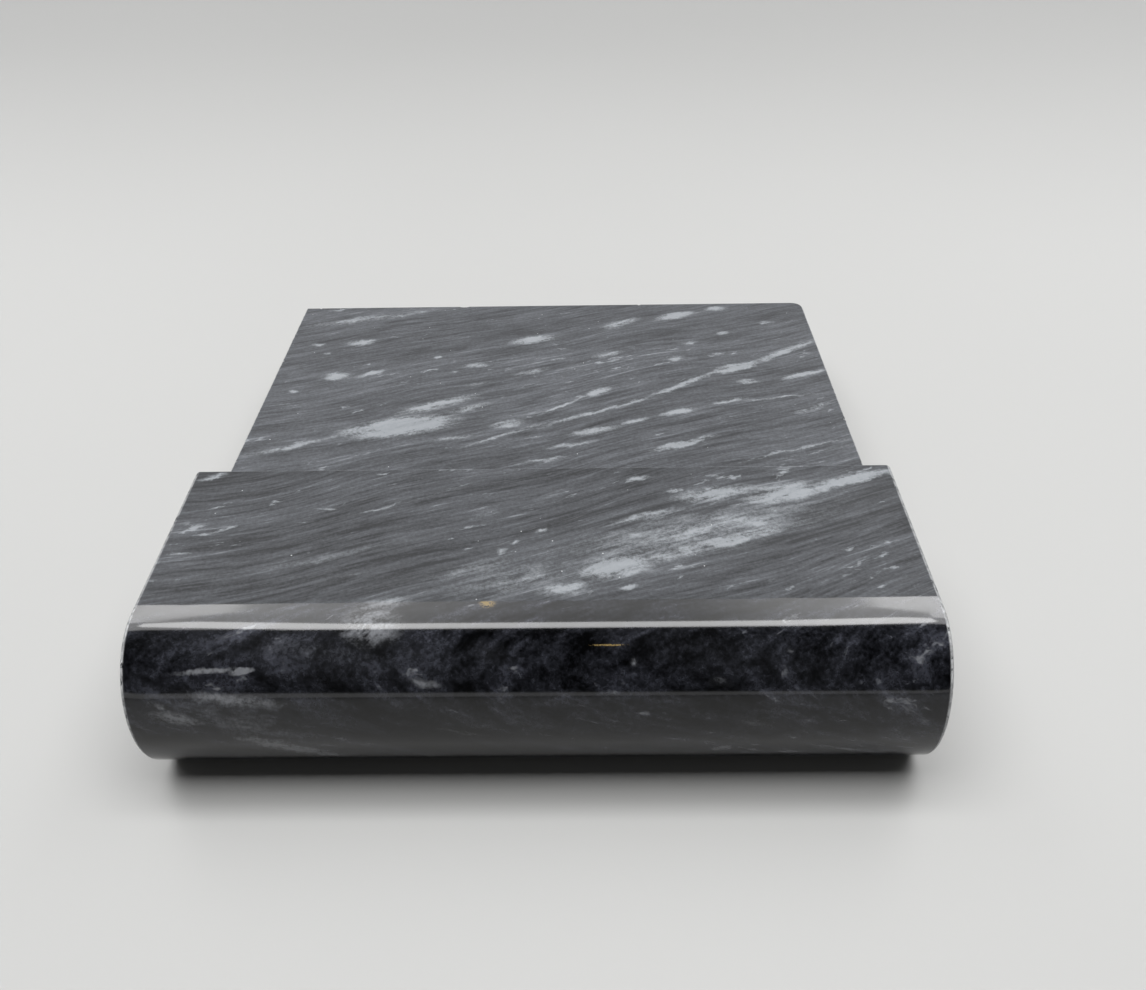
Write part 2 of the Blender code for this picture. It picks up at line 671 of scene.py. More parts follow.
def sweep_tree() -> GeometryTree:
    """The tree that sweeps a closed outline into a solid with eased ends.

    The outline is a ring of vertices. Each has the attributes outward, the direction that it is
    eased from; spine, where its end face closes; and corner, how worn an eased long edge is.

    Returns:
        The tree.
    """
    tree = GeometryTree("Swept stone", {
        "Points": "NodeSocketInt", "Runs": "NodeSocketInt", "Arris Steps": "NodeSocketInt",
        "Length": "NodeSocketFloat", "Arris": "NodeSocketFloat", "Along": "NodeSocketVector",
        "Finished": "NodeSocketMaterial", "Sawn": "NodeSocketMaterial",
        "Sawn Below": "NodeSocketFloat",
    })
    points, runs, steps = (tree.given(name) for name in ("Points", "Runs", "Arris Steps"))
    length, arris = tree.given("Length"), tree.given("Arris")
    last = runs + (steps + CAP_RINGS) * 2.0
    grid_values = {"Size X": last, "Size Y": points, "Vertices X": last + 1.0, "Vertices Y": points + 1.0}
    grid = tree.add("GeometryNodeMeshGrid", grid_values)
    place = tree.add("GeometryNodeInputPosition")
    column = (tree.part(place, "X") + last * 0.5).math("ROUND")
    row = (tree.part(place, "Y") + points * 0.5).math("ROUND").math("MODULO", points)

    def sampled(name: str | None, kind: str) -> Term:
        """Reads the outline for each vertex of the grid.

        Args:
            name: The attribute to read, or None for the position.
            kind: Its kind of value.

        Returns:
            The value.
        """
        if name is None:
            value = tree.add("GeometryNodeInputPosition")
        else:
            value = tree.add("GeometryNodeInputNamedAttribute", {"Name": name}, data_type=kind)
        values = {"Geometry": tree.given("Geometry"), "Value": value, "Index": row}
        return tree.add("GeometryNodeSampleIndex", values, data_type=kind)

    from_end = column.lowest(last - column)
    cap = 1.0 - (from_end / CAP_RINGS).kept()
    quarter = math.pi / 2

    def turn(count: Term) -> Term:
        """How far round an end's arris a column is, in radians."""
        return ((count - CAP_RINGS) / steps).kept() * quarter

    inset = arris * (1.0 - turn(from_end).math("SINE"))
    share = ((column - steps - CAP_RINGS) / runs).kept()
    rounding = turn(last - column).math("COSINE") - turn(column).math("COSINE")
    travel = (share - 0.5) * (length - arris * 2.0) + arris * rounding

    eased = tree.vector("SUBTRACT", sampled(None, "FLOAT_VECTOR"),
                        tree.scaled(sampled("outward", "FLOAT_VECTOR"), inset))
    closed = tree.add("ShaderNodeMix", {0: cap, 4: eased, 5: sampled("spine", "FLOAT_VECTOR")}, 1,
                      data_type="VECTOR")
    there = tree.vector("ADD", closed, tree.scaled(tree.given("Along"), travel))
    end_arris = 1.0 - abs(turn(from_end) / (quarter / 2) - 1.0).kept()
    worn = end_arris.highest(sampled("corner", "FLOAT") * (from_end - CAP_RINGS).kept())
    marked = tree.add("GeometryNodeStoreNamedAttribute",
                      {"Geometry": grid, "Name": "arris", "Value": worn}, data_type="FLOAT")
    shaped = tree.add("GeometryNodeSetPosition", {"Geometry": marked, "Position": there})
    merged = tree.add("GeometryNodeMergeByDistance", {"Geometry": shaped, "Distance": JOIN_WITHIN})
    joined = tree.add("GeometryNodeFlipFaces", {"Mesh": merged})

    normal = tree.add("GeometryNodeInputNormal")
    low = tree.part(normal, "Z").math("LESS_THAN", tree.given("Sawn Below"))
    back = tree.part(normal, "Y").math("GREATER_THAN", FACES_OUT)
    side = abs(tree.part(normal, "X")).math("GREATER_THAN", FACES_OUT)
    finished = tree.add("GeometryNodeSetMaterial", {"Geometry": joined, "Material": tree.given("Finished")})
    solid = tree.add("GeometryNodeRealizeInstances", {"Geometry": finished})
    tree.end(tree.add("GeometryNodeSetMaterial", {
        "Geometry": solid, "Selection": low.highest(back).highest(side),
        "Material": tree.given("Sawn"),
    }))
    return tree


@dataclass(frozen=True)
class Chip:
    """A chip of a given size, knocked out of an edge at a given place.

    The place is measured from the middle of the swept stone, and both it and the size are in
    millimetres.
    """

    across: float
    along: float
    height: float
    size: tuple[float, float, float]


CHIP_LUMPS = 1.1                         # how far a chip is pushed out of round, in radii
CHIP_LIFT = 0.45                         # how far a chip's middle stands out of the edge, in radii
CHIP_TURN = (6.28, 6.28, 6.28)           # the most that a chip is turned about each axis
CHIP_LEAST = (0.7, 0.7, 0.6)             # the least that a chip is stretched along each axis
CHIP_MOST = (1.6, 1.3, 1.0)
MOSTLY_SMALL = 4.0                       # the power of the draw for a chip's size


def chip_tree(chips: list[Chip]) -> GeometryTree:
    """The tree that knocks chips out of a stone's edges.

    Args:
        chips: The chips that have a place of their own.

    Returns:
        The tree.
    """
    tree = GeometryTree("Chipped edges", {
        "Density": "NodeSocketFloat", "Smallest": "NodeSocketFloat", "Largest": "NodeSocketFloat",
        "Seed": "NodeSocketInt", "Broken": "NodeSocketMaterial",
    })
    seed = tree.given("Seed")
    ball = tree.add("GeometryNodeMeshIcoSphere", {"Radius": 1.0, "Subdivisions": 2})
    lumpy = tree.noise(tree.add("GeometryNodeInputPosition"), 1.1, 2.0, 0.6, out=1)
    push = tree.scaled(tree.vector("SUBTRACT", lumpy, HALF), CHIP_LUMPS)
    lump = tree.add("GeometryNodeSetPosition", {"Geometry": ball, "Offset": push})
    lump = tree.add("GeometryNodeSetMaterial", {"Geometry": lump, "Material": tree.given("Broken")})

    stone = tree.given("Geometry")
    arris = tree.add("GeometryNodeInputNamedAttribute", {"Name": "arris"}, data_type="FLOAT")
    spots_values = {"Mesh": stone, "Density": arris.ramp(0.2, 0.8) * tree.given("Density"), "Seed": seed}
    spots = tree.add("GeometryNodeDistributePointsOnFaces", spots_values)
    spots_node = spots.socket.node
    draw = tree.add("FunctionNodeRandomValue", {"Seed": seed}, 1)
    spread = tree.given("Largest") - tree.given("Smallest")
    size = draw ** MOSTLY_SMALL * spread + tree.given("Smallest")
    outward = tree.scaled(Term(tree, spots_node.outputs["Normal"]), size * CHIP_LIFT)
    raised = tree.add("GeometryNodeSetPosition", {"Geometry": spots, "Offset": outward})
    turn = tree.add("FunctionNodeRandomValue", {0: (0.0, 0.0, 0.0), 1: CHIP_TURN, "Seed": seed},
                    data_type="FLOAT_VECTOR")
    stretch = tree.add("FunctionNodeRandomValue", {0: CHIP_LEAST, 1: CHIP_MOST, "Seed": seed},
                       data_type="FLOAT_VECTOR")
    instances = tree.add("GeometryNodeInstanceOnPoints", {
        "Points": raised, "Instance": lump, "Rotation": turn, "Scale": tree.scaled(stretch, size),
    })
    cut = tree.add("GeometryNodeMeshBoolean", {"Mesh 1": stone, "Mesh 2": instances},
                   operation="DIFFERENCE", solver="MANIFOLD")
    cutter = cut.socket.node
    for chip in chips:
        moved = tree.add("GeometryNodeTransform", {
            "Geometry": lump, "Translation": Vector((chip.across, chip.along, chip.height)) * MM,
            "Scale": Vector(chip.size) * MM,
        })
        tree.tree.links.new(moved.socket, cutter.inputs["Mesh 2"])
    tree.end(tree.add("GeometryNodeRealizeInstances", {"Geometry": cut}))
    return tree


def as_plain_mesh(worked: bpy.types.Object, name: str) -> bpy.types.Object:
    """Turns what an object's modifiers make into a plain mesh, and removes the object.

    Args:
        worked: The object with the modifiers.
        name: The finished piece's name.

    Returns:
        The finished piece.
    """
    graph = bpy.context.evaluated_depsgraph_get()
    mesh = bpy.data.meshes.new_from_object(worked.evaluated_get(graph), depsgraph=graph)
    bpy.data.objects.remove(worked)
    mesh.name = name
    for slot in reversed(range(len(mesh.materials))):
        if mesh.materials[slot] is None:
            mesh.materials.pop(index=slot)
    mesh.shade_smooth()
    mesh.set_sharp_from_angle(angle=SMOOTH_BELOW)
    piece = bpy.data.objects.new(name, mesh)
    bpy.context.scene.collection.objects.link(piece)
    return piece


class OutlinePoint(NamedTuple):
    """A corner of an outline in its own plane, in metres."""

    first: float
    second: float
    out_first: float
    out_second: float
    corner: float = 0.0


def straight(start: Pair, end: Pair, outward: Pair, spacing: float) -> list[OutlinePoint]:
    """Points along a straight side, without its two ends.

    Args:
        start: The side's first end.
        end: The side's last end.
        outward: The direction out of the stone.
        spacing: About how far apart the points are.

    Returns:
        The points.
    """
    count = max(1, round(math.dist(start, end) / spacing))
    shares = [step / count for step in range(1, count)]
    return [
        OutlinePoint(start[0] + (end[0] - start[0]) * share, start[1] + (end[1] - start[1]) * share, *outward)
        for share in shares
    ]


def rounded(centre: Pair, radius: float, start: float, steps: int, inset: float,
            arris: bool = True) -> list[OutlinePoint]:
    """Points round a square corner, with both its ends.

    The ends of the stone are eased by an inset. Where that is more than the corner's radius,
    the points close in on one mitre, so that the faces beside it don't fold over.

    Args:
        centre: The corner's centre.
        radius: Its radius.
        start: The direction of its first point, in radians.
        steps: How many flats it has.
        inset: How far the stone's ends are eased.
        arris: Whether it is an eased edge.

    Returns:
        The points.
    """
    points = []
    middle = Vector(centre)
    mitred = max(0.0, 1.0 - radius / inset)
    diagonal = Vector((math.cos(start) - math.sin(start), math.sin(start) + math.cos(start)))
    for step in range(steps + 1):
        turn = start + math.pi / 2 * step / steps
        out = Vector((math.cos(turn), math.sin(turn)))
        worn = LONG_EDGE_WEAR * (1.0 - abs(2.0 * step / steps - 1.0)) if arris else 0.0
        points.append(OutlinePoint(*(middle + out * radius), *out.lerp(diagonal, mitred), worn))
    return points


# The two stones

@dataclass
class Stone:
    """What the two stones share: how an outline becomes a chipped, dressed piece."""

    node: str
    body: str
    slot: str
    arris_steps: int = 6
    point_spacing: float = 0.0015
    chip_density: float = 0.55e6       # to the square metre of eased edge
    smallest_chip: float = 0.00008
    largest_chip: float = 0.00055
    seed: int = 11

    def __post_init__(self) -> None:
        """Reads the stone's size and place from the frame."""
        self.low, self.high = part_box(self.node)

    @property
    def top_front(self) -> float:
        """Where the stone's flat top starts, along Y."""
        return self.low.y

    def on_top(self, vein: Vein) -> Lens:
        """Places a vein on the flat top."""
        centre = Vector((vein.across, self.top_front / MM + vein.back, self.high.z / MM))
        return Lens(vein, centre, Matrix.Rotation(math.radians(vein.angle), 3, "Z"))

    def outline_object(self, points: list[OutlinePoint], placed: Callable[[float, float], Vector],
                       spine_of: Callable[[OutlinePoint], Pair]) -> bpy.types.Object:
        """Makes the ring of vertices that the sweep reads.

        Args:
            points: The outline.
            placed: Turns a pair of numbers in the outline's plane into a place or a direction.
            spine_of: Gives the pair where a point's end face closes.

        Returns:
            An object with the ring as its mesh.
        """
        mesh = bpy.data.meshes.new("outline")
        mesh.from_pydata([placed(p.first, p.second) for p in points], [], [])
        for name, kind in (("outward", "FLOAT_VECTOR"), ("spine", "FLOAT_VECTOR"), ("corner", "FLOAT")):
            mesh.attributes.new(name, kind, "POINT")
        for index, point in enumerate(points):
            outward = placed(point.out_first, point.out_second)
            mesh.attributes["outward"].data[index].vector = outward
            mesh.attributes["spine"].data[index].vector = placed(*spine_of(point))
            mesh.attributes["corner"].data[index].value = point.corner
        thing = bpy.data.objects.new("outline", mesh)
        bpy.context.scene.collection.objects.link(thing)
        return thing

    def finish(self, ring: bpy.types.Object, sweep: dict[str, object], chips: list[Chip],
               broken: bpy.types.Material, centre: Vector) -> bpy.types.Object:
        """Sweeps, chips and places the stone.

        Args:
            ring: The object that holds the outline.
            sweep: The sweep's inputs.
            chips: The chips that have a place of their own, measured from the stone's centre.
            broken: The material inside a chip.
            centre: Where the swept stone's middle goes.

        Returns:
            The finished piece.
        """
        values = {"Points": len(ring.data.vertices), "Arris Steps": self.arris_steps, **sweep}
        sweep_tree().put_on(ring, values)
        chip_tree(chips).put_on(ring, {
            "Density": self.chip_density, "Smallest": self.smallest_chip, "Largest": self.largest_chip,
            "Seed": self.seed, "Broken": broken,
        })
        piece = as_plain_mesh(ring, self.node + "_stone")
        piece.data.transform(Matrix.Translation(centre))
        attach(piece, self.body)
        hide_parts(self.node)
        log.info("%s: %d vertices, %d faces", piece.name, len(piece.data.vertices),
                 len(piece.data.polygons))
        return piece


@dataclass
class BullnoseBlock(Stone):
    """The thick block, polished round its nose."""

    node: str = "front_slab"
    body: str = "front_slab"
    slot: str = "polished_stone"
    end_arris: float = 0.0008
    sawn_arris: float = 0.0003
    nose_depth: float = 0.0124
    nose_steps: int = 96
    polish_behind: float = 0.0019      # how far behind the nose's start the polish reaches
    polish_skew: float = 0.004         # how much further back it reaches for each metre across
    sawn_below: float = -0.985         # the underside is sawn where its normal's Z is less
    runs: int = 60

    @property
    def top_front(self) -> float:
        """Where the flat top ends and the nose starts to fall, along Y."""
        return self.low.y + self.nose_depth

    def outline(self) -> list[OutlinePoint]:
        """Draws the block's side view.

        Returns:
            Its points as Y and Z, from the start of the nose round to the top again.
        """
        half = (self.high.z - self.low.z) / 2
        back, arris, quarter = self.high.y, self.sawn_arris, math.pi / 2
        low, high = self.low.z, self.high.z
        points = []
        for step in range(self.nose_steps + 1):
            turn = math.pi * step / self.nose_steps
            out = Vector((-math.sin(turn) / self.nose_depth, math.cos(turn) / half)).normalized()
            forward = self.top_front - self.nose_depth * math.sin(turn)
            points.append(OutlinePoint(forward, low + half + half * math.cos(turn), *out))
        start = self.top_front
        points += straight((start, low), (back - arris, low), (0.0, -1.0), self.point_spacing)
        points += rounded((back - arris, low + arris), arris, -quarter, self.arris_steps, self.end_arris)
        points += straight((back, low + arris), (back, high - arris), (1.0, 0.0), self.point_spacing)
        points += rounded((back - arris, high - arris), arris, 0.0, self.arris_steps, self.end_arris)
        points += straight((back - arris, high), (start, high), (0.0, 1.0), self.point_spacing)
        return points

    def spine(self, point: OutlinePoint) -> Pair:
        """Where an end face closes: on a line half way up the block."""
        half = (self.high.z - self.low.z) / 2
        return min(max(point.first, self.top_front), self.high.y - half), self.low.z + half

    def on_nose(self, vein: Vein) -> Lens:
        """Places a vein round the nose.

        Args:
            vein: The vein.

        Returns:
            Its place in the frame.
        """
        half = (self.high.z - self.low.z) / 2
        round_nose = math.pi * math.sqrt((half**2 + self.nose_depth**2) / 2)
        turn = -vein.back * MM / round_nose * math.pi
        centre = Vector((vein.across * MM, self.top_front - self.nose_depth * math.sin(turn),
                         self.low.z + half + half * math.cos(turn)))
        up = Vector((0.0, self.nose_depth * math.cos(turn), half * math.sin(turn))).normalized()
        across = Vector((1.0, 0.0, 0.0))
        tilt = math.radians(vein.angle)
        run = across * math.cos(tilt) + up * math.sin(tilt)
        out = run.cross(up).normalized()
        return Lens(vein, centre / MM, Matrix((run, out.cross(run), out)).transposed())

    def build(self, marble: Marble) -> bpy.types.Object:
        """Makes the block.

        Args:
            marble: The stone.

        Returns:
            The finished piece.
        """
        lenses = [self.on_top(vein) for vein in TOP_VEINS] + [self.on_nose(vein) for vein in NOSE_VEINS]
        own = BlockMaterial("polished_marble", marble, lenses)
        line = (self.top_front + self.polish_behind) / MM
        # The top's brown stain, and the nose's painted glint: a reflection painted into the colour.
        stains_and_glint = [self.on_top(TOP_STAIN), self.on_nose(NOSE_PAINTED_GLINT)]
        material = own.two_finishes(line, self.polish_skew, stains_and_glint)
        sawn = StoneMaterial("sawn_marble_block", marble, []).finish(Surface.SAWN)
        broken = StoneMaterial("broken_marble_block", marble, []).finish(Surface.BROKEN)

        def placed(first: float, second: float) -> Vector:
            """A pair of the side view as a place in the frame."""
            return Vector((0.0, first, second))

        ring = self.outline_object(self.outline(), placed, self.spine)
        return self.finish(ring, {
            "Runs": self.runs, "Length": self.high.x - self.low.x, "Arris": self.end_arris,
            "Along": (1.0, 0.0, 0.0), "Finished": material, "Sawn": sawn, "Sawn Below": self.sawn_below,
        }, BLOCK_CHIPS, broken, Vector(((self.high.x + self.low.x) / 2, 0.0, 0.0)))


@dataclass
class RearSlab(Stone):
    """The thinner slab behind the block, matt on top."""

    node: str = "rear_slab"
    body: str = "rear_slab"
    slot: str = "honed_stone"
    sawn_arris: float = 0.0003
    left_taper: float = 0.0021
    right_taper: float = 0.0014
    clipped_corner: float = 0.0026
    corner_steps: int = 16
    sawn_below: float = 0.7            # all but the top is sawn, where its normal's Z is less
    runs: int = 12
    seed: int = 23

    def outline(self) -> list[OutlinePoint]:
        """Draws the slab's plan.

        Returns:
            Its points as X and Y, anticlockwise from the front left corner.
        """
        left, right, front, back = self.low.x, self.high.x, self.low.y, self.high.y
        arris, clip, quarter = self.sawn_arris, self.clipped_corner, math.pi / 2
        back_left, back_right = left + self.left_taper, right - self.right_taper
        lean_right = math.atan2(self.right_taper, back - front)
        lean_left = math.atan2(self.left_taper, back - front)
        points = rounded((left + arris, front + arris), arris, -2 * quarter, self.arris_steps, arris)
        points += straight((left + arris, front), (right - arris, front), (0.0, -1.0), self.point_spacing)
        points += rounded((right - arris, front + arris), arris, -quarter, self.arris_steps, arris)
        out = (math.cos(lean_right), math.sin(lean_right))
        points += straight((right, front + arris), (back_right, back - clip), out, self.point_spacing)
        points += rounded((back_right - clip, back - clip), clip, 0.0, self.corner_steps, arris, False)
        points += straight((back_right - clip, back), (back_left + arris, back), (0.0, 1.0),
                           self.point_spacing)
        points += rounded((back_left + arris, back - arris), arris, quarter, self.arris_steps, arris)
        out = (-math.cos(lean_left), math.sin(lean_left))
        points += straight((back_left, back - arris), (left, front + arris), out, self.point_spacing)
        return points

    def spine(self, point: OutlinePoint) -> Pair:
        """Where an end face closes: in the middle of the slab."""
        return (self.low.x + self.high.x) / 2, (self.low.y + self.high.y) / 2

    def build(self, marble: Marble) -> bpy.types.Object:
        """Makes the slab.

        Args:
            marble: The stone.

        Returns:
            The finished piece.
        """
        lenses = [self.on_top(vein) for vein in SLAB_VEINS]
        honed = StoneMaterial("honed_marble", marble, lenses).finish(Surface.HONED)
        sawn = StoneMaterial("sawn_marble_slab", marble, []).finish(Surface.SAWN)
        broken = StoneMaterial("broken_marble_slab", marble, []).finish(Surface.BROKEN)

        def placed(first: float, second: float) -> Vector:
            """A pair of the plan as a place in the frame."""
            return Vector((first, second, 0.0))

        ring = self.outline_object(self.outline(), placed, self.spine)
        return self.finish(ring, {
            "Runs": self.runs, "Length": self.high.z - self.low.z, "Arris": self.sawn_arris,
            "Along": (0.0, 0.0, 1.0), "Finished": honed, "Sawn": sawn, "Sawn Below": self.sawn_below,
        }, SLAB_CHIPS, broken, Vector((0.0, 0.0, (self.high.z + self.low.z) / 2)))


TOP_STAIN = Vein(-7.6, 1.5, 2.8, 2.2, 0, 0.75)
# The nose's golden line is a painted glint: a reflection painted into the colour as brown flecks.
NOSE_PAINTED_GLINT = Vein(11.3, -6.8, 6, 0.35, 0, 0.8)

TOP_VEINS = [
    Vein(-60, 34, 5, 1.4, 20, 0.55), Vein(-35, 12.5, 33, 2.4, 16, 0.22),
    Vein(-30.5, 8, 16, 1.5, 17, 0.18), Vein(-56, 8.5, 14, 1.6, 7, 0.14),
    Vein(-60, 13.5, 3.5, 0.8, 11, 0.5), Vein(-37.5, 25, 4, 0.5, 0, 0.45), Vein(-41, 21, 4, 0.8, 10, 0.3),
    Vein(-6, 13.5, 2.2, 1.6, 10, 0.45), Vein(-4, 15.5, 2, 0.9, 24, 0.45), Vein(0.5, 18.5, 2.5, 1, 17, 0.5),
    Vein(-10, 9.5, 25, 6, 17, 0.24), Vein(-10, 22.5, 6.5, 1, 21, 0.35),
    Vein(55.5, 31.5, 18, 2.8, 18, 0.62), Vein(42.5, 28, 13, 5.2, 12, 0.66),
    Vein(31, 28, 15, 4, 11, 0.56), Vein(19, 22, 15, 3.2, 16, 0.42),
    Vein(29.5, 15, 30, 3.2, 20, 0.55), Vein(13, 9.5, 10.5, 4.4, 14, 0.85),
    Vein(37.5, 20, 3.4, 1.6, 13, 0.6), Vein(29, 18.5, 13, 3, 12, 0.42),
    Vein(27, 18, 62, 13, 17, 0.33), Vein(-2, 7, 34, 9, 15, 0.27),
    Vein(4.5, 4.5, 10, 3.4, 12, 0.45), Vein(14.5, 5, 2.6, 1.2, 21, 0.6),
    Vein(17.5, 32.5, 4, 1.1, 8, 0.55), Vein(24, 29, 3.2, 1.1, 10, 0.55),
    Vein(-28, 25, 12, 0.7, 22, 0.3), Vein(-19, 28.5, 10, 0.6, 22, 0.28), Vein(-14, 31, 9, 0.6, 20, 0.25),
    Vein(56, 12, 30, 0.5, 20, 0.10), Vein(48, 5, 24, 0.5, 18, 0.10),
]

NOSE_VEINS = [
    Vein(-36, -7, 44, 9, -8, 0.16), Vein(-45, -19, 34, 9, -16, 0.22), Vein(-8, -20, 40, 6, -14, 0.14),
    Vein(-24, 1.5, 9, 3, 15, 0.45), Vein(34, -10, 34, 7, -12, 0.09),
    Vein(-25.5, -3, 9, 6.5, 0, 0.55), Vein(-50, -10.3, 9, 0.8, 4, 0.6), Vein(-44.5, -10.4, 3.5, 1, 0, 0.9),
    Vein(-16.5, -12.5, 5, 1.5, -17, 0.4), Vein(-58, -16, 2.5, 1.3, -8, 0.4),
    Vein(-55.5, -18, 9, 2.4, -10, 0.5), Vein(-46, -15, 16, 2.4, -8, 0.42),
    Vein(-39, -24.5, 18, 3, -22, 0.55), Vein(-16.5, -28, 10, 1.8, -10, 0.3),
    Vein(-11.5, -21, 10, 1.3, -12, 0.3),
    Vein(-25.5, -8.2, 6.5, 3.6, 0, 0.14), Vein(-42, -7.8, 5, 2.6, 0, 0.12),
    Vein(-18.5, -8, 5, 1.8, -12, 0.16),
    Vein(-7, -8.2, 7, 3.6, -14, 0.12), Vein(15, -9.6, 1.2, 1.1, 0, 0.35), Vein(28, -12.5, 3, 1.6, -6, 0.25),
    Vein(39, -7.8, 1.2, 0.9, 0, 0.3), Vein(1.5, -21.5, 3.5, 1.5, -15, 0.3), Vein(34, -19.5, 7, 2, -14, 0.25),
    Vein(44.5, -25.5, 14.5, 1, -20, 0.2),
]

SLAB_VEINS = [
    Vein(-31, 28, 21, 6, 11, 0.92), Vein(-24, 36, 18, 2.8, 22, 0.55), Vein(-17, 34.5, 10.5, 2.6, 20, 0.5),
    Vein(-48, 48, 5.8, 3.4, 5, 0.6), Vein(-41, 49, 7.5, 1.5, 25, 0.5), Vein(-45, 62.5, 6, 2.6, 12, 0.62),
    Vein(-4, 63, 11.6, 3, 13, 0.6), Vein(-16.5, 52, 5, 2.4, 9, 0.5), Vein(-3.5, 49, 9, 1.9, 18, 0.5),
    Vein(-45, 74, 33, 2.8, 13, 0.45), Vein(-52.5, 21.5, 22, 1.7, 20, 0.42), Vein(-49, 27, 4, 2.4, 40, 0.2),
    Vein(-8.5, 28.5, 7, 2.6, 15, 0.55), Vein(-19, 24, 11, 1.3, 16, 0.4), Vein(-8, 25, 24, 1.2, 28, 0.4),
    Vein(-2.5, 15.5, 12, 1, 16, 0.35), Vein(-15.5, 44.5, 10, 1.4, 20, 0.3),
    Vein(11, 33, 27, 1.3, 24, 0.62), Vein(30.5, 43.5, 18, 1.4, 33, 0.66), Vein(43, 50, 10.6, 2.7, 20, 0.85),
    Vein(55, 57, 17, 1.9, 33, 0.7), Vein(3.5, 35.5, 13, 0.9, 35, 0.5), Vein(11, 40.5, 5.5, 2.3, 30, 0.65),
    Vein(13.5, 56, 7, 2, 18, 0.6), Vein(16.5, 70, 10.5, 2.8, 26, 0.5), Vein(30, 73.5, 9, 2.6, 22, 0.75),
    Vein(40.5, 77, 5.3, 1.9, 7, 0.55), Vein(28, 32.5, 9, 2, 18, 0.5), Vein(10.5, 26, 12, 2.3, 15, 0.5),
    Vein(18.5, 29, 6.6, 1.4, 18, 0.45), Vein(4.5, 21, 12, 1.4, 12, 0.4), Vein(1.5, 16, 5.6, 1.8, 16, 0.45),
    Vein(28.5, 21, 13, 1.7, 19, 0.75), Vein(50.5, 18.5, 29, 0.9, 19, 0.42),
    Vein(54.5, 17.5, 19, 0.8, 17, 0.38),
    Vein(57.5, 33.5, 12, 1.5, 23, 0.5), Vein(57, 46.5, 10.5, 1.7, 22, 0.6), Vein(51, 37.5, 24, 0.8, 8, 0.35),
    Vein(39.5, 36.5, 8, 1.1, 13, 0.5), Vein(44.5, 44, 5, 1.9, 8, 0.5), Vein(52, 70, 4, 1.2, 15, 0.55),
    Vein(41, 65, 3.2, 1.4, 20, 0.55), Vein(33, 61, 3.6, 1.6, 15, 0.5), Vein(29, 54, 4, 1.8, 15, 0.5),
    Vein(39, 56, 3, 1.6, 10, 0.5), Vein(-57, 42, 2.5, 1.2, 0, 0.55), Vein(-55, 62, 3, 1.4, 0, 0.5),
    Vein(-52, 58, 2, 1.2, 10, 0.4), Vein(-26, 56, 2.2, 1.4, 10, 0.5), Vein(-22, 49, 2, 1, 10, 0.4),
]

BLOCK_CHIPS = [
    Chip(63.4, -61.5, -1.5, (0.9, 1.6, 3.2)), Chip(63.5, -60.8, 5.5, (0.7, 1.2, 1.4)),
    Chip(-63.6, -52.0, 15.2, (1.0, 2.2, 1.2)), Chip(63.7, -40.0, 15.1, (0.8, 1.4, 0.9)),
]

SLAB_CHIPS = [
    Chip(-21.8, 64.3, 10.0, (1.6, 0.8, 0.9)), Chip(-63.4, 20.0, 9.9, (0.6, 1.4, 0.6)),
]


# The studio

@dataclass
class Panel:
    """A flat overhead light, given in rig heights from a point over the nose."""

    name: str
    left: float
    right: float
    front: float
    back: float
    radiance: float
    turn: float = 0.0          # about the vertical, in degrees
    mirrored: bool = True      # whether the polished stone shows it


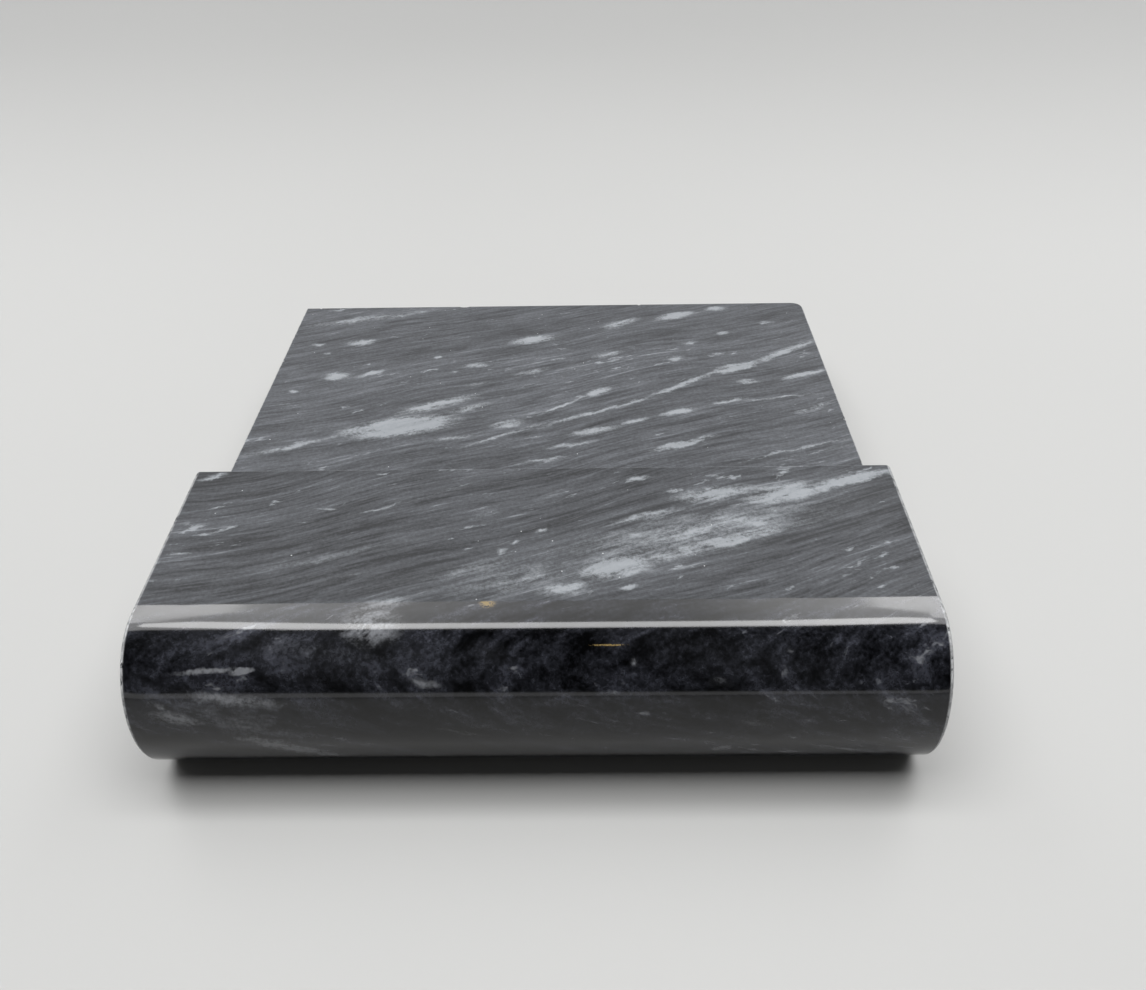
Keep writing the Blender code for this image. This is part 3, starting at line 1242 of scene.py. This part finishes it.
@dataclass
class Studio:
    """The pale floor, the frame of overhead lights and the camera."""

    rig_height: float = 1.1
    floor_reach: float = 1.8
    soft_light: float = 0.15           # what the room adds to the lamps, from every side
    camera_place: tuple[float, float, float] = (0.0080, -0.1633, 0.1440)
    camera_turn: tuple[float, float, float] = (50.752, 0.881, 0.203)     # degrees
    camera_lens: float = 32.03

    def build(self, nose_y: float) -> None:
        """Makes the floor, the lights, the surroundings and the camera.

        Args:
            nose_y: Where the block's nose is, along Y.
        """
        self.floor()
        for panel in PANELS:
            self.light(panel, nose_y)
        self.surroundings()
        self.camera()
        bpy.context.scene.view_settings.view_transform = "Standard"

    def floor(self) -> None:
        """Makes the pale floor, with painted shade that darkens it further back."""
        reach = self.floor_reach
        mesh = bpy.data.meshes.new("floor")
        corners = [(-reach, -reach, 0), (reach, -reach, 0), (reach, reach, 0), (-reach, reach, 0)]
        mesh.from_pydata(corners, [], [(0, 1, 2, 3)])
        material = bpy.data.materials.new("floor_paper")
        material.use_nodes = True
        material.node_tree.nodes.clear()
        nodes = Nodes(material.node_tree)
        place = nodes.add("ShaderNodeTexCoord", out="Object")
        mottled = nodes.noise(place, 6.0, 3.0)
        # Painted shade: the floor's colour is darkened further back.
        far_painted_shade = nodes.part(place, "Y").ramp(0.10, 0.42, 0.0, 0.22)
        near = nodes.mix_colours(mottled, (0.250, 0.250, 0.246), (0.262, 0.262, 0.258))
        colour = nodes.mix_colours(far_painted_shade, near, (0.0, 0.0, 0.0))
        shader = nodes.add("ShaderNodeBsdfPrincipled", {"Base Color": colour, "Roughness": 0.6})
        nodes.end_with("ShaderNodeOutputMaterial", shader)
        mesh.materials.append(material)
        ground = bpy.data.objects.new("floor", mesh)
        bpy.context.scene.collection.objects.link(ground)

    def light(self, panel: Panel, nose_y: float) -> None:
        """Makes one overhead light.

        Args:
            panel: The light's place and strength.
            nose_y: Where the block's nose is, along Y.
        """
        lamp = bpy.data.lights.new(panel.name, "AREA")
        lamp.shape = "RECTANGLE"
        lamp.size = (panel.right - panel.left) * self.rig_height
        lamp.size_y = (panel.back - panel.front) * self.rig_height
        lamp.energy = panel.radiance * math.pi * lamp.size * lamp.size_y
        thing = bpy.data.objects.new(panel.name, lamp)
        middle = ((panel.left + panel.right) / 2, (panel.front + panel.back) / 2)
        thing.location = Vector((*middle, 1.0)) * self.rig_height + Vector((0.0, nose_y, 0.0))
        thing.rotation_euler.z = math.radians(panel.turn)
        thing.visible_glossy = panel.mirrored
        bpy.context.scene.collection.objects.link(thing)

    def surroundings(self) -> None:
        """Makes the room: pale behind the stones and dark in front of them."""
        world = bpy.data.worlds.new("room")
        bpy.context.scene.world = world
        world.use_nodes = True
        world.node_tree.nodes.clear()
        nodes = Nodes(world.node_tree)
        way = nodes.vector("NORMALIZE", nodes.add("ShaderNodeTexCoord", out="Generated"))
        across, along, up = (nodes.part(way, axis) for axis in "XYZ")
        # The wall behind gets lighter as it goes up, most of all to the left and the right.
        sides = across.ramp(0.06, 0.28, 0.0, 2.6) + across.ramp(0.0, -0.34, 0.0, 2.0)
        wall = up.ramp(0.30, 0.65, 0.60, 1.7) + up.ramp(0.55, 0.68) * sides
        # In front, the floor is pale up to the horizon and the room above it is dark.
        in_front = (up + across * 0.06).ramp(0.075, 0.055, 0.015, 0.90)
        behind = (along - up * 0.12).ramp(-0.01, 0.03)
        glow = behind * wall + (1.0 - behind) * in_front
        seen = nodes.add("ShaderNodeLightPath", out="Is Camera Ray")
        mirrored = nodes.add("ShaderNodeLightPath", out="Is Glossy Ray")
        backdrop = up.ramp(0.0, 0.4, 0.42, 0.72)
        strength = seen * backdrop + mirrored * glow + (1.0 - seen - mirrored) * self.soft_light
        background = nodes.add("ShaderNodeBackground", {"Color": (1.0, 1.0, 1.0, 1.0), "Strength": strength})
        nodes.end_with("ShaderNodeOutputWorld", background)

    def camera(self) -> None:
        """Makes the camera, above and in front of the stones."""
        lens = bpy.data.cameras.new("camera")
        lens.lens = self.camera_lens
        lens.sensor_width = 36.0
        lens.clip_start = 0.01
        lens.clip_end = 20.0
        eye = bpy.data.objects.new("camera", lens)
        eye.location = self.camera_place
        eye.rotation_euler = [math.radians(turn) for turn in self.camera_turn]
        bpy.context.scene.collection.objects.link(eye)
        bpy.context.scene.camera = eye


PANELS = [
    Panel("front_bar", -0.33, 0.26, 0.10, 0.29, 8.0),
    Panel("left_bar", -0.53, -0.27, 0.19, 0.37, 8.0, -35.0),
    Panel("right_bar", 0.20, 0.43, 0.15, 0.33, 8.6, 30.0),
    Panel("left_panel", -1.00, -0.50, 0.42, 1.25, 3.7),
    Panel("right_panel", 0.42, 0.90, 0.36, 1.25, 4.3),
    Panel("overhead_fill", -0.70, 0.70, -0.30, 0.31, 8.5, 0.0, False),
]


def main() -> None:
    """Builds the stones and the studio, and writes how big the result is."""
    logging.basicConfig(level=logging.INFO, format="%(message)s")
    marble = Marble()
    block = BullnoseBlock()
    block.build(replace(marble, shade=0.76))
    RearSlab().build(marble)
    Studio().build(block.low.y)


if __name__ == "__main__":
    main()
